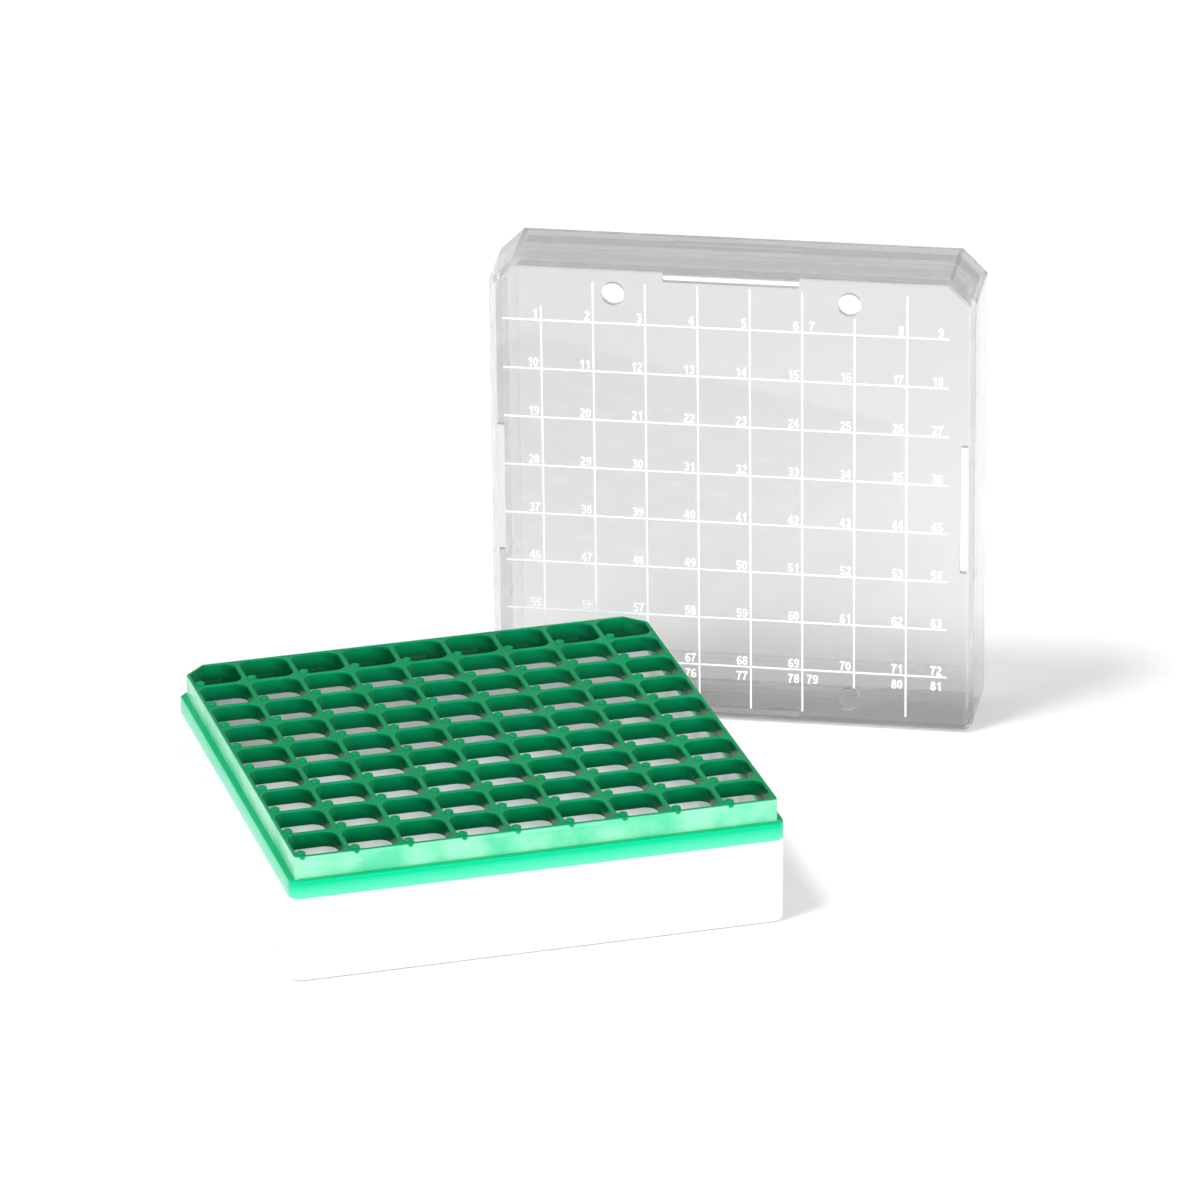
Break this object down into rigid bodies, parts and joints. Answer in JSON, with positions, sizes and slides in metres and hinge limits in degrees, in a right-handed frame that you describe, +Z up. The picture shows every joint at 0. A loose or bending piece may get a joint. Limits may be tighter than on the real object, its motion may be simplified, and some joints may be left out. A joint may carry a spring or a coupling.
{
  "type": "cryogenic storage box",
  "caption": "Square gridded freezer box for cryogenic vials: white tray, green insert of rounded cells, and a clear printed lid taken off and standing beside it.",
  "frame": {"origin": "middle of the tray's underside, which stands on the surface", "axes": "+Z up, -Y to the front, where the box's two rounded corners are, +X to the right; the lid stands behind and to the right"},
  "size_m": [0.2255, 0.1782, 0.133],
  "materials": {
    "white_plastic": "opaque white moulded polycarbonate, soft gloss",
    "green_plastic": "translucent green moulded polycarbonate, soft gloss",
    "clear_plastic": "clear moulded polycarbonate, polished",
    "white_ink": "white printed ink, matte"
  },
  "bodies": {
    "box": {"base_tray": "white_plastic", "cell_insert": "green_plastic"},
    "lid": {"lid": "clear_plastic", "lid_print": "white_ink"}
  },
  "joints": [
    {"name": "lid_lift", "type": "slide", "parent": "box", "child": "lid", "axis": [0, 0, 1], "range_m": [0, 0.08]}
  ]
}
